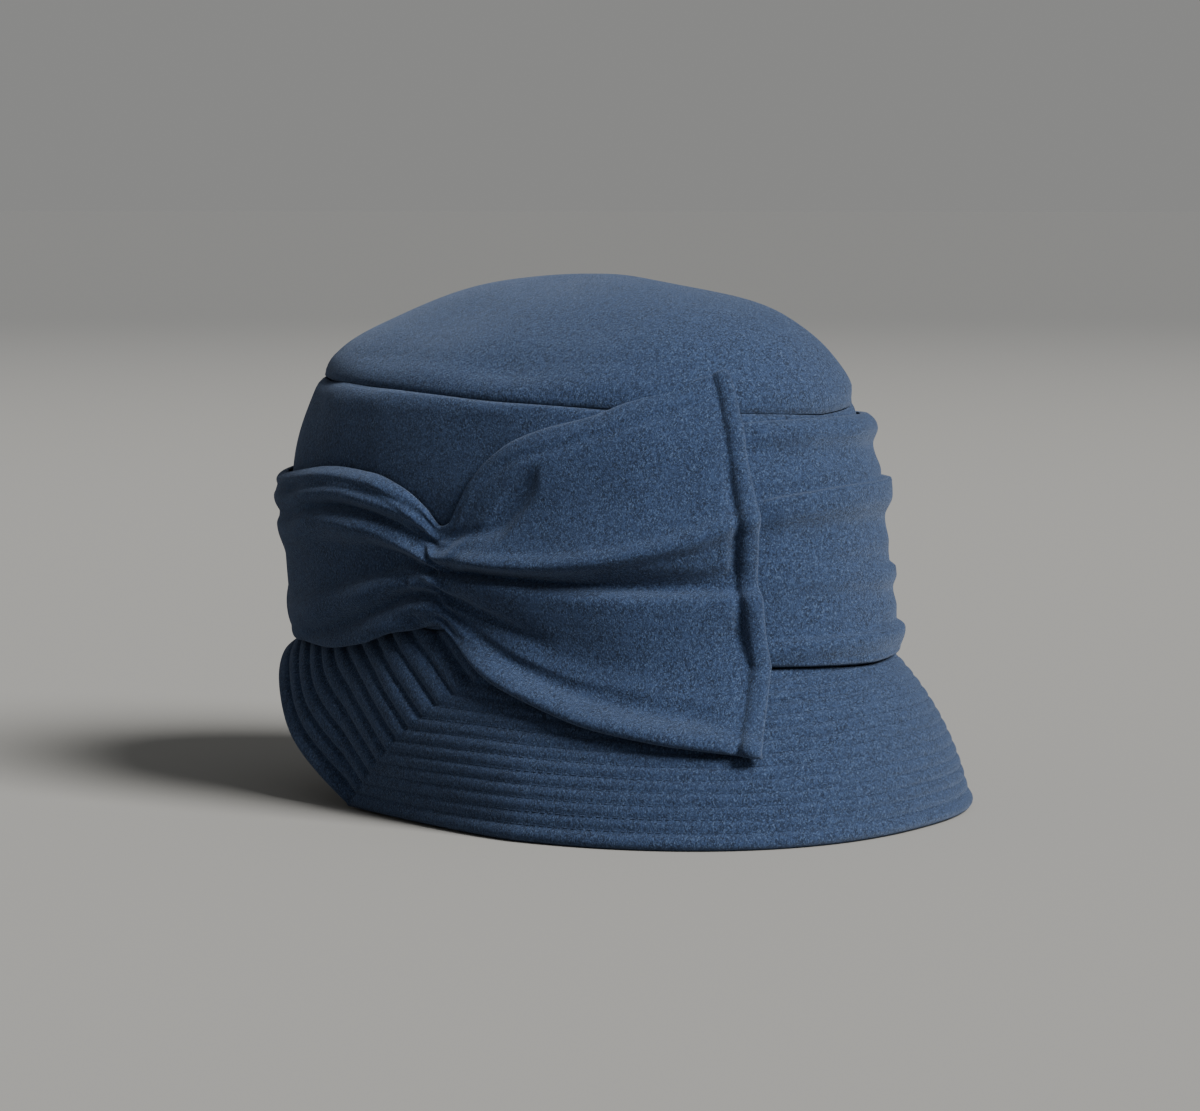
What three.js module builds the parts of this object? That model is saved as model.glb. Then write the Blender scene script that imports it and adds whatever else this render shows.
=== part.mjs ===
import * as THREE from 'three';

// Cloche hat in wool coating cloth: a stitched bell brim of two layers, a hollow crown of a side
// band and a top panel, and one long strip of cloth laid round the crown. The strip is tucked
// across the front, gathered in behind the wearer's right ear and opened out from there in a
// pleated, hemmed fan that laps over its own beginning.
// Millimetres, +Z up, front of the hat towards -Y, wearer's left towards +X. The rim rests on z = 0.

// Driving sizes of the crown
const brimDrop = 60;
const crownHeight = 136.4;
const crownFront = 119;
const crownBack = 124.5;
const crownHalfWidth = 91;
const crownSquareness = 2.1;

// Driving sizes of the rim, measured in plan from the crown's upright axis
const rimFront = 145.3;
const rimHalfWidth = 106.3;
const rimWidestAhead = 40.5;
const rimSquareness = 2.34;
const cornerHalfWidth = 75.8;
const cornerBack = 55;
const napeBack = 120.5;
const napeSquareness = 2.3;
const napeRise = 54;
const brimFullness = 0.08;

// Cloth and clearances
const crownCloth = 2;
const brimCloth = 2.4;
const wrapCloth = 2;
const fanCloth = 2.2;
const gap = 0.3;
const stripLift = 0.6;

// Tucks, folds and pleats
const tuckDepth = 2.6;
const tuckEdge = 1.6;
const tuckLip = 0.35;
const footRise = 0.4;
const wrapStart = 28;
const waistAngle = 93;
const waistOpening = 0.15;
const hemAngle = 24;
const hemWidth = 9;
const hemStep = 0.2;
const hemRise = 1.5;
const hemSlant = 5.5;
const pleatHeight = 10;
const fanMiddle = 0.45;
const fanDentDepth = 3;
const fanDentReach = 15;

// Steps of the facets
const columnStep = 6;
const brimRows = 6;
const bandRows = 4;
const tipRows = 6;

// Steps at which the slope of a face is taken: in degrees, in height and in share of the brim's drop
const slopeStep = { turn: 0.5, level: 0.5, drop: 0.02 };

// Sections of the crown: height above the seam level as a share of crownHeight, then the reach to
// front, back and side as shares of crownFront, crownBack and crownHalfWidth
const crownSections = [
  { height: -0.44, front: 1.1, back: 0.859, side: 0.835 },
  { height: -0.073, front: 1.042, back: 0.885, side: 0.879 },
  { height: 0.11, front: 0.995, back: 0.957, side: 0.94 },
  { height: 0.293, front: 0.962, back: 0.967, side: 0.973 },
  { height: 0.477, front: 0.922, back: 0.95, side: 1 },
  { height: 0.66, front: 0.85, back: 0.88, side: 0.985 },
  { height: 0.792, front: 0.775, back: 0.79, side: 0.825 },
  { height: 0.887, front: 0.64, back: 0.61, side: 0.61 },
  { height: 0.953, front: 0.4, back: 0.402, side: 0.41 },
  { height: 1, front: 0, back: 0, side: 0 },
];

// Seam between crown and brim: degrees from the front, height as a share of brimDrop
const seamLine = [
  { angle: 0, height: 0.97 },
  { angle: 24, height: 1 },
  { angle: 60, height: 1.07 },
  { angle: 92, height: 1.17 },
  { angle: 105, height: 1.17 },
  { angle: 119, height: 1.09 },
  { angle: 137, height: 1.03 },
  { angle: 180, height: 1.03 },
];

// Rim behind the corners: share of the turn from corner to nape, height as a share of napeRise
const napeLine = [
  { turn: 0, height: 0 },
  { turn: 0.14, height: 0.2 },
  { turn: 0.3, height: 0.43 },
  { turn: 0.5, height: 0.78 },
  { turn: 0.66, height: 0.93 },
  { turn: 1, height: 1 },
];

// Seam round the top panel: degrees from the front, height as a share of crownHeight
const tipLine = [
  { angle: 0, height: 0.645 },
  { angle: 60, height: 0.68 },
  { angle: 120, height: 0.72 },
  { angle: 180, height: 0.74 },
];

// Folds of the strip: degrees gone from the front round the wearer's left, then the heights of its
// five fold edges as shares of crownHeight and the rise of the folds as a share of tuckDepth
const wrapFolds = [
  { turn: -28, top: 0.63, second: 0.41, third: 0.27, fourth: 0.045, fifth: 0.02, rise: 0.1 },
  { turn: -24, top: 0.63, second: 0.415, third: 0.265, fourth: 0.048, fifth: 0.02, rise: 0.4 },
  { turn: -18, top: 0.63, second: 0.425, third: 0.26, fourth: 0.05, fifth: 0.02, rise: 1 },
  { turn: 0, top: 0.63, second: 0.44, third: 0.23, fourth: 0.06, fifth: 0.02, rise: 1 },
  { turn: 40, top: 0.62, second: 0.44, third: 0.22, fourth: 0.06, fifth: 0.02, rise: 1 },
  { turn: 90, top: 0.58, second: 0.42, third: 0.25, fourth: 0.11, fifth: 0.08, rise: 1 },
  { turn: 150, top: 0.5, second: 0.4, third: 0.28, fourth: 0.12, fifth: 0.05, rise: 1.2 },
  { turn: 210, top: 0.46, second: 0.4, third: 0.3, fourth: 0.1, fifth: 0.05, rise: 1.5 },
  { turn: 221, top: 0.47, second: 0.41, third: 0.32, fourth: 0.1, fifth: 0.05, rise: 1.8 },
  { turn: 240, top: 0.49, second: 0.44, third: 0.37, fourth: 0.14, fifth: 0.07, rise: 2 },
  { turn: 255, top: 0.47, second: 0.42, third: 0.36, fourth: 0.2, fifth: 0.11, rise: 2 },
  { turn: 267, top: 0.41, second: 0.36, third: 0.29, fourth: 0.22, fifth: 0.14, rise: 1.8 },
];

// Belly of one tuck: part of the way from its lower edge to its upper one, and how far it stands
// out there as a share of the fold's rise
const tuckBelly = [
  { part: 0.12, out: 0.05 },
  { part: 0.5, out: 0.55 },
];

// Lines of the fan: degrees from the front, then heights of the top edge, the two crests, the
// valley between them and the bottom fold as shares of crownHeight
const fanLines = [
  { angle: 24, top: 0.745, upper: 0.385, valley: 0.21, lower: 0.187, bottom: -0.23 },
  { angle: 33, top: 0.725, upper: 0.35, valley: 0.205, lower: 0.185, bottom: -0.21 },
  { angle: 42, top: 0.7, upper: 0.32, valley: 0.2, lower: 0.18, bottom: -0.19 },
  { angle: 54, top: 0.645, upper: 0.29, valley: 0.21, lower: 0.19, bottom: -0.155 },
  { angle: 66, top: 0.6, upper: 0.28, valley: 0.225, lower: 0.205, bottom: -0.1 },
  { angle: 76, top: 0.535, upper: 0.28, valley: 0.23, lower: 0.215, bottom: -0.045 },
  { angle: 82, top: 0.475, upper: 0.285, valley: 0.232, lower: 0.22, bottom: 0.005 },
  { angle: 87, top: 0.4, upper: 0.285, valley: 0.235, lower: 0.222, bottom: 0.05 },
  { angle: 93, top: 0.36, upper: 0.275, valley: 0.235, lower: 0.22, bottom: 0.1 },
];

// Heights of the fan's outer face over the crown as shares of pleatHeight, at the hem, along the
// middle and at the waist. from and to name two lines of the fan, and part is the way between them.
const fanProfile = [
  { from: 'top', to: 'upper', part: 0, hem: 0.4, middle: 0.3, waist: 0.28 },
  { from: 'top', to: 'upper', part: 0.025, hem: 0.6, middle: 0.52, waist: 0.4 },
  { from: 'top', to: 'upper', part: 0.16, hem: 0.68, middle: 0.54, waist: 0.5 },
  { from: 'top', to: 'upper', part: 0.3, hem: 0.7, middle: 0.56, waist: 0.55 },
  { from: 'top', to: 'upper', part: 0.55, hem: 0.72, middle: 0.58, waist: 0.6 },
  { from: 'top', to: 'upper', part: 0.85, hem: 0.82, middle: 0.75, waist: 0.75 },
  { from: 'top', to: 'upper', part: 1, hem: 1.05, middle: 1.15, waist: 0.9 },
  { from: 'upper', to: 'valley', part: 0.15, hem: 0.98, middle: 1.05, waist: 0.8 },
  { from: 'upper', to: 'valley', part: 0.55, hem: 0.78, middle: 0.55, waist: 0.5 },
  { from: 'upper', to: 'valley', part: 1, hem: 0.72, middle: 0.3, waist: 0.3 },
  { from: 'lower', to: 'bottom', part: 0, hem: 1, middle: 0.95, waist: 0.75 },
  { from: 'lower', to: 'bottom', part: 0.1, hem: 0.92, middle: 0.85, waist: 0.7 },
  { from: 'lower', to: 'bottom', part: 0.5, hem: 0.72, middle: 0.5, waist: 0.5 },
  { from: 'lower', to: 'bottom', part: 0.86, hem: 0.68, middle: 0.62, waist: 0.55 },
  { from: 'lower', to: 'bottom', part: 0.95, hem: 0.64, middle: 0.66, waist: 0.55 },
  { from: 'lower', to: 'bottom', part: 1, hem: 0.35, middle: 0.3, waist: 0.28 },
];

const fanDent = { angle: 70, height: 0.43 };

function radians(degrees) {
  return THREE.MathUtils.degToRad(degrees);
}

// Smooth curve through table values that never swings past them
function curveThrough(places, values) {
  const last = places.length - 1;
  const chord = places.slice(1).map((place, i) => (values[i + 1] - values[i]) / (place - places[i]));
  const slope = values.map((_, i) => {
    if (i === 0) return chord[0];
    if (i === last) return chord[last - 1];
    if (chord[i - 1] * chord[i] <= 0) return 0;
    return (2 * chord[i - 1] * chord[i]) / (chord[i - 1] + chord[i]);
  });
  return (place) => {
    const inside = THREE.MathUtils.clamp(place, places[0], places[last]);
    let i = 0;
    while (i < last - 1 && inside > places[i + 1]) i += 1;
    const span = places[i + 1] - places[i];
    const t = (inside - places[i]) / span;
    const s = 1 - t;
    return values[i] * s * s * (1 + 2 * t) + values[i + 1] * t * t * (1 + 2 * s)
      + span * t * s * (slope[i] * s - slope[i + 1] * t);
  };
}

function columnCurve(rows, place, column) {
  return curveThrough(rows.map((row) => row[place]), rows.map((row) => row[column]));
}

// Crown sections are joined over the angle of their height, so that the top closes in a dome
const sectionPlaces = crownSections.map((row) => Math.asin(row.height));
const sectionReach = {};
for (const column of ['front', 'back', 'side']) {
  sectionReach[column] = curveThrough(sectionPlaces, crownSections.map((row) => row[column]));
}

function levelAt(share) {
  return brimDrop + share * crownHeight;
}

// Outer face of the crown at an angle from the front, positive to the wearer's right
function crownPoint(angle, level) {
  const place = Math.asin(THREE.MathUtils.clamp((level - brimDrop) / crownHeight, -1, 1));
  const front = crownFront * sectionReach.front(place);
  const back = crownBack * sectionReach.back(place);
  const side = crownHalfWidth * sectionReach.side(place);
  const half = (front + back) / 2;
  if (half === 0) return new THREE.Vector3(0, 0, level);
  const across = Math.sin(radians(angle));
  const along = Math.cos(radians(angle));
  const sum = Math.abs(along / half) ** crownSquareness + Math.abs(across / side) ** crownSquareness;
  const reach = sum ** (-1 / crownSquareness);
  return new THREE.Vector3(-reach * across, -(front - half + reach * along), level);
}

// Direction square to a face given as a function of angle and height or drop
function outwardAt(face, angle, place, step) {
  const { turn } = slopeStep;
  const round = face(angle + turn, place).sub(face(angle - turn, place));
  const rise = face(angle, place + step).sub(face(angle, place - step));
  return round.cross(rise).normalize();
}

function crownOutward(angle, level) {
  const inside = Math.min(level, levelAt(1) - 2 * slopeStep.level);
  return outwardAt(crownPoint, angle, inside, -slopeStep.level);
}

// Rim in plan: a superellipse to the widest place, a straight taper to the corner, and a second
// superellipse from there round the nape
function rimPlan() {
  const points = [];
  const steps = 90;
  for (let i = 0; i <= steps; i += 1) {
    const t = (i / steps) * (Math.PI / 2);
    const ahead = rimFront - rimWidestAhead;
    points.push({
      x: rimHalfWidth * Math.sin(t) ** (2 / rimSquareness),
      ahead: rimWidestAhead + ahead * Math.cos(t) ** (2 / rimSquareness),
    });
  }
  const taper = steps / 3;
  for (let i = 1; i <= taper; i += 1) {
    const t = i / taper;
    points.push({
      x: rimHalfWidth - (rimHalfWidth - cornerHalfWidth) * t,
      ahead: rimWidestAhead - (rimWidestAhead + cornerBack) * t,
    });
  }
  const corner = points.length - 1;
  for (let i = 1; i <= steps; i += 1) {
    const t = (i / steps) * (Math.PI / 2);
    points.push({
      x: cornerHalfWidth * Math.cos(t) ** (2 / napeSquareness),
      ahead: -cornerBack - (napeBack - cornerBack) * Math.sin(t) ** (2 / napeSquareness),
    });
  }
  const angles = points.map((p) => THREE.MathUtils.radToDeg(Math.atan2(p.x, p.ahead)));
  const reaches = points.map((p) => Math.hypot(p.x, p.ahead));
  return { angles, reaches, cornerAngle: angles[corner] };
}

const rim = rimPlan();
const seamHeight = columnCurve(seamLine, 'angle', 'height');
const napeHeight = columnCurve(napeLine, 'turn', 'height');
const tipHeight = columnCurve(tipLine, 'angle', 'height');

// The same angle taken from 0 at the front to 180 at the back on either side
function fromFront(angle) {
  const whole = THREE.MathUtils.euclideanModulo(angle, 360);
  return whole > 180 ? 360 - whole : whole;
}

function seamLevel(angle) {
  return brimDrop * seamHeight(fromFront(angle));
}

function tipLevel(angle) {
  return levelAt(tipHeight(fromFront(angle)));
}

function rimPoint(angle) {
  const turned = fromFront(angle);
  let i = 0;
  while (i < rim.angles.length - 2 && turned > rim.angles[i + 1]) i += 1;
  const part = (turned - rim.angles[i]) / (rim.angles[i + 1] - rim.angles[i]);
  const reach = THREE.MathUtils.lerp(rim.reaches[i], rim.reaches[i + 1], part);
  const behind = Math.max(0, (turned - rim.cornerAngle) / (180 - rim.cornerAngle));
  return new THREE.Vector3(
    -reach * Math.sin(radians(angle)),
    -reach * Math.cos(radians(angle)),
    napeRise * napeHeight(behind),
  );
}

// Outer face of the brim, with drop from 0 at the seam to 1 at the rim. It is ruled from seam to
// rim and stands out a little between them.
function brimPoint(angle, drop) {
  const seam = crownPoint(angle, seamLevel(angle));
  const run = rimPoint(angle).sub(seam);
  const length = run.length();
  const down = run.clone().normalize();
  const out = new THREE.Vector3(-Math.sin(radians(angle)), -Math.cos(radians(angle)), 0);
  out.addScaledVector(down, -out.dot(down)).normalize();
  const fullness = 4 * drop * (1 - drop) * brimFullness * length;
  return seam.addScaledVector(run, drop).addScaledVector(out, fullness);
}

function brimOutward(angle, drop) {
  const step = slopeStep.drop;
  return outwardAt(brimPoint, angle, THREE.MathUtils.clamp(drop, step, 1 - step), step);
}

// Crown above the seam and brim below it, for what lies over both
function hatPoint(angle, level) {
  const seam = seamLevel(angle);
  if (level >= seam) return crownPoint(angle, level);
  return brimPoint(angle, (seam - level) / (seam - rimPoint(angle).z));
}

// Closed solid between an outer and an inner grid of points. Each grid is a list of rows from the
// bottom up, and its columns run from the wearer's left to the right past the front. The top row
// may be a single point.
function clothSolid(outer, inner, round) {
  const positions = [];
  const faces = [];
  const numbers = [outer, inner].map((grid) => grid.map((row) => row.map((point) => {
    positions.push(point.x, point.y, point.z);
    return positions.length / 3 - 1;
  })));
  const triangle = (a, b, c) => faces.push(a, b, c);
  const quad = (a, b, c, d) => {
    triangle(a, b, c);
    triangle(a, c, d);
  };
  const columns = outer[0].length;
  const spans = round ? columns : columns - 1;
  const [out, within] = numbers;
  for (let j = 0; j < outer.length - 1; j += 1) {
    for (let i = 0; i < spans; i += 1) {
      const k = (i + 1) % columns;
      if (outer[j + 1].length === 1) {
        triangle(out[j][i], out[j + 1][0], out[j][k]);
        triangle(within[j][i], within[j][k], within[j + 1][0]);
      } else {
        quad(out[j][i], out[j + 1][i], out[j + 1][k], out[j][k]);
        quad(within[j][i], within[j][k], within[j + 1][k], within[j + 1][i]);
      }
    }
  }
  const last = outer.length - 1;
  for (let i = 0; i < spans; i += 1) {
    const k = (i + 1) % columns;
    quad(out[0][i], out[0][k], within[0][k], within[0][i]);
    if (outer[last].length > 1) quad(out[last][k], out[last][i], within[last][i], within[last][k]);
  }
  if (!round) {
    for (let j = 0; j < last; j += 1) {
      quad(out[j + 1][0], out[j][0], within[j][0], within[j + 1][0]);
      const k = columns - 1;
      quad(out[j][k], out[j + 1][k], within[j + 1][k], within[j][k]);
    }
  }
  const geometry = new THREE.BufferGeometry();
  geometry.setAttribute('position', new THREE.Float32BufferAttribute(positions, 3));
  geometry.setIndex(faces);
  geometry.computeVertexNormals();
  return geometry;
}

// Angles from one side of the hat to the other in even steps, with chosen extra angles among them
function anglesBetween(from, to, extra = []) {
  const near = columnStep / 4;
  const even = [];
  for (let angle = Math.ceil(from / columnStep) * columnStep; angle <= to; angle += columnStep) {
    even.push(angle);
  }
  const fixed = [from, to, ...extra].filter((angle) => angle >= from && angle <= to);
  const kept = even.filter((angle) => fixed.every((other) => Math.abs(other - angle) > near));
  return [...new Set([...kept, ...fixed])].sort((a, b) => a - b);
}

function fullRound() {
  const all = anglesBetween(-180, 180, [-rim.cornerAngle, rim.cornerAngle]);
  return all.slice(1);
}

function offsetGrid(places, angles, face, outward, height) {
  return places.map((place) => angles.map((angle) => {
    const at = place(angle);
    return face(angle, at).addScaledVector(outward(angle, at), height(angle, at));
  }));
}

// One layer of the brim between two depths under its outer face, cut off level where it rests
function brimLayer(upper, lower) {
  const angles = fullRound();
  const drops = Array.from({ length: brimRows + 1 }, (_, j) => () => 1 - j / brimRows);
  const grids = [upper, lower].map((depth) => {
    const grid = offsetGrid(drops, angles, brimPoint, brimOutward, () => -depth);
    grid[0].forEach((point, i) => {
      point.z = rimPoint(angles[i]).z;
    });
    return grid;
  });
  return clothSolid(grids[0], grids[1], true);
}

function brimUpper() {
  return brimLayer(0, brimCloth);
}

function brimUnder() {
  return brimLayer(brimCloth + gap, 2 * brimCloth + gap);
}

function crownBand() {
  const angles = fullRound();
  const places = Array.from({ length: bandRows + 1 }, (_, j) => (angle) => (
    THREE.MathUtils.lerp(seamLevel(angle) + gap, tipLevel(angle), j / bandRows)
  ));
  const outer = offsetGrid(places, angles, crownPoint, crownOutward, () => 0);
  const inner = offsetGrid(places, angles, crownPoint, crownOutward, () => -crownCloth);
  return clothSolid(outer, inner, true);
}

function crownTip() {
  const angles = fullRound();
  const places = Array.from({ length: tipRows }, (_, j) => (angle) => {
    const start = (tipLevel(angle) + gap - brimDrop) / crownHeight;
    const lean = THREE.MathUtils.lerp(Math.asin(start), Math.PI / 2, j / tipRows);
    return levelAt(Math.sin(lean));
  });
  const grids = [0, crownCloth].map((depth) => {
    const grid = offsetGrid(places, angles, crownPoint, crownOutward, () => -depth);
    grid.push([new THREE.Vector3(0, 0, levelAt(1) - depth)]);
    return grid;
  });
  return clothSolid(grids[0], grids[1], true);
}

const wrapFold = {};
for (const column of ['top', 'second', 'third', 'fourth', 'fifth', 'rise']) {
  wrapFold[column] = columnCurve(wrapFolds, 'turn', column);
}

// Rows across the strip from its lower edge up. Each fold stands out along its edge and eases in
// to the fold above it.
function wrapRows(turn) {
  const foot = seamLevel(-turn) + gap;
  const edges = ['fifth', 'fourth', 'third', 'second', 'top'].map((name) => (
    Math.max(levelAt(wrapFold[name](turn)), foot + 3 * tuckEdge)
  ));
  const rise = tuckDepth * wrapFold.rise(turn);
  const rows = [{ level: foot, out: footRise * rise }];
  let below = foot;
  edges.forEach((edge, i) => {
    const top = Math.max(edge, below + 2 * tuckEdge);
    const room = top - below;
    const belly = i > 0 ? tuckBelly : tuckBelly.slice(1);
    belly.forEach(({ part, out }) => rows.push({ level: below + part * room, out: out * rise }));
    rows.push({ level: top - tuckEdge, out: rise });
    rows.push({ level: top, out: tuckLip * rise });
    below = top;
  });
  return rows;
}

function tuckedWrap() {
  const angles = anglesBetween(waistAngle - 360 + waistOpening, wrapStart);
  const columns = angles.map((angle) => wrapRows(-angle));
  const grids = [true, false].map((outer) => columns[0].map((_, j) => angles.map((angle, i) => {
    const row = columns[i][j];
    const height = outer ? stripLift + wrapCloth + row.out : stripLift;
    return crownPoint(angle, row.level).addScaledVector(crownOutward(angle, row.level), height);
  })));
  return clothSolid(grids[0], grids[1], false);
}

const fanLine = {};
for (const column of ['top', 'upper', 'valley', 'lower', 'bottom']) {
  fanLine[column] = columnCurve(fanLines, 'angle', column);
}

// Height of the fan's outer face over the hat for one row of its profile
function fanHeight(row, angle, level) {
  const way = (angle - hemAngle) / (waistAngle - hemAngle);
  const share = way < fanMiddle
    ? THREE.MathUtils.lerp(row.hem, row.middle, THREE.MathUtils.smoothstep(way / fanMiddle, 0, 1))
    : THREE.MathUtils.lerp(row.middle, row.waist, (way - fanMiddle) / (1 - fanMiddle));
  const dent = crownPoint(angle, level).distanceTo(crownPoint(fanDent.angle, levelAt(fanDent.height)));
  const sunk = fanDentDepth * Math.exp(-((dent / fanDentReach) ** 2));
  return Math.max(share * pleatHeight - sunk, fanCloth + stripLift);
}

// Degrees by which the hem draws back where it lies on the brim
function fanSlant(angle, level) {
  const below = (seamLevel(angle) - level) / levelAt(fanLine.bottom(hemAngle));
  const way = (waistAngle - angle) / (waistAngle - hemAngle);
  return hemSlant * THREE.MathUtils.clamp(below, 0, 1) * way;
}

function pleatedFan() {
  const girth = crownPoint(hemAngle, levelAt(0)).setZ(0).length();
  const hemTurn = THREE.MathUtils.radToDeg(hemWidth / girth);
  const extra = [hemAngle + hemTurn, hemAngle + (1 + hemStep) * hemTurn];
  const angles = anglesBetween(hemAngle, waistAngle, extra);
  const rows = [...fanProfile].reverse();
  const grids = [0, fanCloth].map((depth) => rows.map((row) => angles.map((angle) => {
    const share = THREE.MathUtils.lerp(fanLine[row.from](angle), fanLine[row.to](angle), row.part);
    const level = levelAt(share);
    const hem = angle <= hemAngle + hemTurn ? hemRise : 0;
    const outer = fanHeight(row, angle, level) + hem;
    const height = depth === 0 ? outer : Math.max(outer - depth - hem, stripLift);
    const slanted = angle + fanSlant(angle, level);
    return hatPoint(slanted, level).addScaledVector(crownOutward(slanted, level), height);
  })));
  return clothSolid(grids[0], grids[1], false);
}

function woolCloth(colour) {
  return new THREE.MeshStandardMaterial({ color: colour, roughness: 0.95, metalness: 0 });
}

function piece(name, geometry, colour) {
  const mesh = new THREE.Mesh(geometry, woolCloth(colour));
  mesh.name = name;
  return mesh;
}

const hat = new THREE.Group();
hat.add(piece('brim_upper', brimUpper(), 0x31486b));
hat.add(piece('brim_under', brimUnder(), 0x2c4263));
hat.add(piece('crown_band', crownBand(), 0x324a6e));
hat.add(piece('crown_tip', crownTip(), 0x344c70));
hat.add(piece('tucked_wrap', tuckedWrap(), 0x304869));
hat.add(piece('pleated_fan', pleatedFan(), 0x334b6e));

// The origin is the middle of the hat's length, on the plane that it rests on
const bounds = new THREE.Box3().setFromObject(hat);
hat.position.y = -(bounds.min.y + bounds.max.y) / 2;

export default hat;
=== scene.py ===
import math

import bmesh
import bpy
import numpy as np
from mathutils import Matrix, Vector


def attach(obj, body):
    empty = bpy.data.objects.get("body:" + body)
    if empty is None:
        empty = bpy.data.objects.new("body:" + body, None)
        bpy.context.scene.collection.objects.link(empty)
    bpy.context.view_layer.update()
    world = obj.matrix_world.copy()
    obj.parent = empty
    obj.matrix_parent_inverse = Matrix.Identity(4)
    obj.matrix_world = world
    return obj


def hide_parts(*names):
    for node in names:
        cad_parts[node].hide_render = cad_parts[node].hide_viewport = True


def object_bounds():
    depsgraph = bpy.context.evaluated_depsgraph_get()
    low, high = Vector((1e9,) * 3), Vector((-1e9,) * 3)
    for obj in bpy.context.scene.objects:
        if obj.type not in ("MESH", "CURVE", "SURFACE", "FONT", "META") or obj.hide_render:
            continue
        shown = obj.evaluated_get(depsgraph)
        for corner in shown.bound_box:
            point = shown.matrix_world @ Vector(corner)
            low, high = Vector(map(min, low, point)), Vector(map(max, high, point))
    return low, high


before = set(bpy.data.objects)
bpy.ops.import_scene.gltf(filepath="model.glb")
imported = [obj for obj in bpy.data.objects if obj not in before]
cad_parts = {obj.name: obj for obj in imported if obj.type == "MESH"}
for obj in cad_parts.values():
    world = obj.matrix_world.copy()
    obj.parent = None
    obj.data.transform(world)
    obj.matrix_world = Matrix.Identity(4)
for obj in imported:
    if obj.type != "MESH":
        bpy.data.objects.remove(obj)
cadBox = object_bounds()

# Everything below works in millimetres round the crown's upright axis: front of the hat towards -Y,
# wearer's left towards +X. Angles run from the front, positive towards the wearer's right.
mm = 0.001

crown = dict(
    drop=60.0, height=136.4, front=119.0, back=124.5, halfWidth=91.0, squareness=2.1,
    sections=[                       # height above the seam, reach to front, back and side, as shares
        (-0.44, 1.1, 0.859, 0.835),
        (-0.073, 1.042, 0.885, 0.879),
        (0.11, 0.995, 0.957, 0.94),
        (0.293, 0.962, 0.967, 0.973),
        (0.477, 0.922, 0.95, 1.0),
        (0.66, 0.85, 0.88, 0.985),
        (0.792, 0.775, 0.79, 0.825),
        (0.887, 0.64, 0.61, 0.61),
        (0.953, 0.4, 0.402, 0.41),
        (1.0, 0.0, 0.0, 0.0),
    ],
    seam=[(0, 0.97), (24, 1.0), (60, 1.07), (92, 1.17), (105, 1.17), (119, 1.09), (137, 1.03), (180, 1.03)],
    tipSeam=[(0, 0.645), (60, 0.68), (120, 0.72), (180, 0.74)],
    cloth=2.0,
)

rim = dict(
    front=145.3, halfWidth=106.3, widestAhead=40.5, squareness=2.34, taperBend=1.35,
    cornerHalfWidth=75.8, cornerBack=55.0, napeBack=120.5, napeSquareness=2.3, napeRise=54.0,
    fullness=0.08,
    nape=[(0, 0), (0.14, 0.2), (0.3, 0.43), (0.5, 0.78), (0.66, 0.93), (1, 1)],
)

# The frame says how far the axis stands from the middle of the hat's length
hatShift = rim["front"] + cadBox[0][1] / mm


# Smooth curve through (place, value) rows that never swings past them
def curveThrough(table):
    places, values = (np.array(column, float) for column in zip(*table))
    chord = np.diff(values) / np.diff(places)
    slope = np.concatenate([chord[:1], np.zeros(len(chord) - 1), chord[-1:]])
    both = chord[:-1] * chord[1:]
    level = both > 0
    slope[1:-1][level] = 2 * both[level] / (chord[:-1] + chord[1:])[level]

    def value(place):
        inside = np.clip(place, places[0], places[-1])
        i = np.clip(np.searchsorted(places, inside, side="right") - 1, 0, len(chord) - 1)
        span = places[i + 1] - places[i]
        t = (inside - places[i]) / span
        s = 1 - t
        ends = values[i] * s * s * (1 + 2 * t) + values[i + 1] * t * t * (1 + 2 * s)
        return ends + span * t * s * (slope[i] * s - slope[i + 1] * t)

    return value


def smoothStep(low, high, x):
    t = np.clip((x - low) / (high - low), 0, 1)
    return t * t * (3 - 2 * t)


def levelAt(share):
    return crown["drop"] + np.asarray(share) * crown["height"]


sectionReach = [
    curveThrough([(math.asin(row[0]), row[k]) for row in crown["sections"]]) for k in (1, 2, 3)
]
seamHeight = curveThrough(crown["seam"])
tipHeight = curveThrough(crown["tipSeam"])
napeHeight = curveThrough(rim["nape"])


def crownPoint(angle, level):
    place = np.arcsin(np.clip((level - crown["drop"]) / crown["height"], -1, 1))
    front, back, side = (
        crown[name] * reach(place)
        for name, reach in zip(("front", "back", "halfWidth"), sectionReach)
    )
    half = np.maximum((front + back) / 2, 1e-6)
    side = np.maximum(side, 1e-6)
    turned = np.radians(angle)
    across, along = np.sin(turned), np.cos(turned)
    n = crown["squareness"]
    reach = (np.abs(along / half) ** n + np.abs(across / side) ** n) ** (-1 / n)
    return np.stack([-reach * across, -(front - half + reach * along), level + 0 * reach], -1)


def outwardAt(face, angle, place, step):
    turn = 0.5
    around = face(angle + turn, place) - face(angle - turn, place)
    rise = face(angle, place + step) - face(angle, place - step)
    normal = np.cross(around, rise)
    return normal / np.linalg.norm(normal, axis=-1, keepdims=True)


def crownOutward(angle, level):
    return outwardAt(crownPoint, angle, np.minimum(level, levelAt(1) - 1), -0.5)


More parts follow.
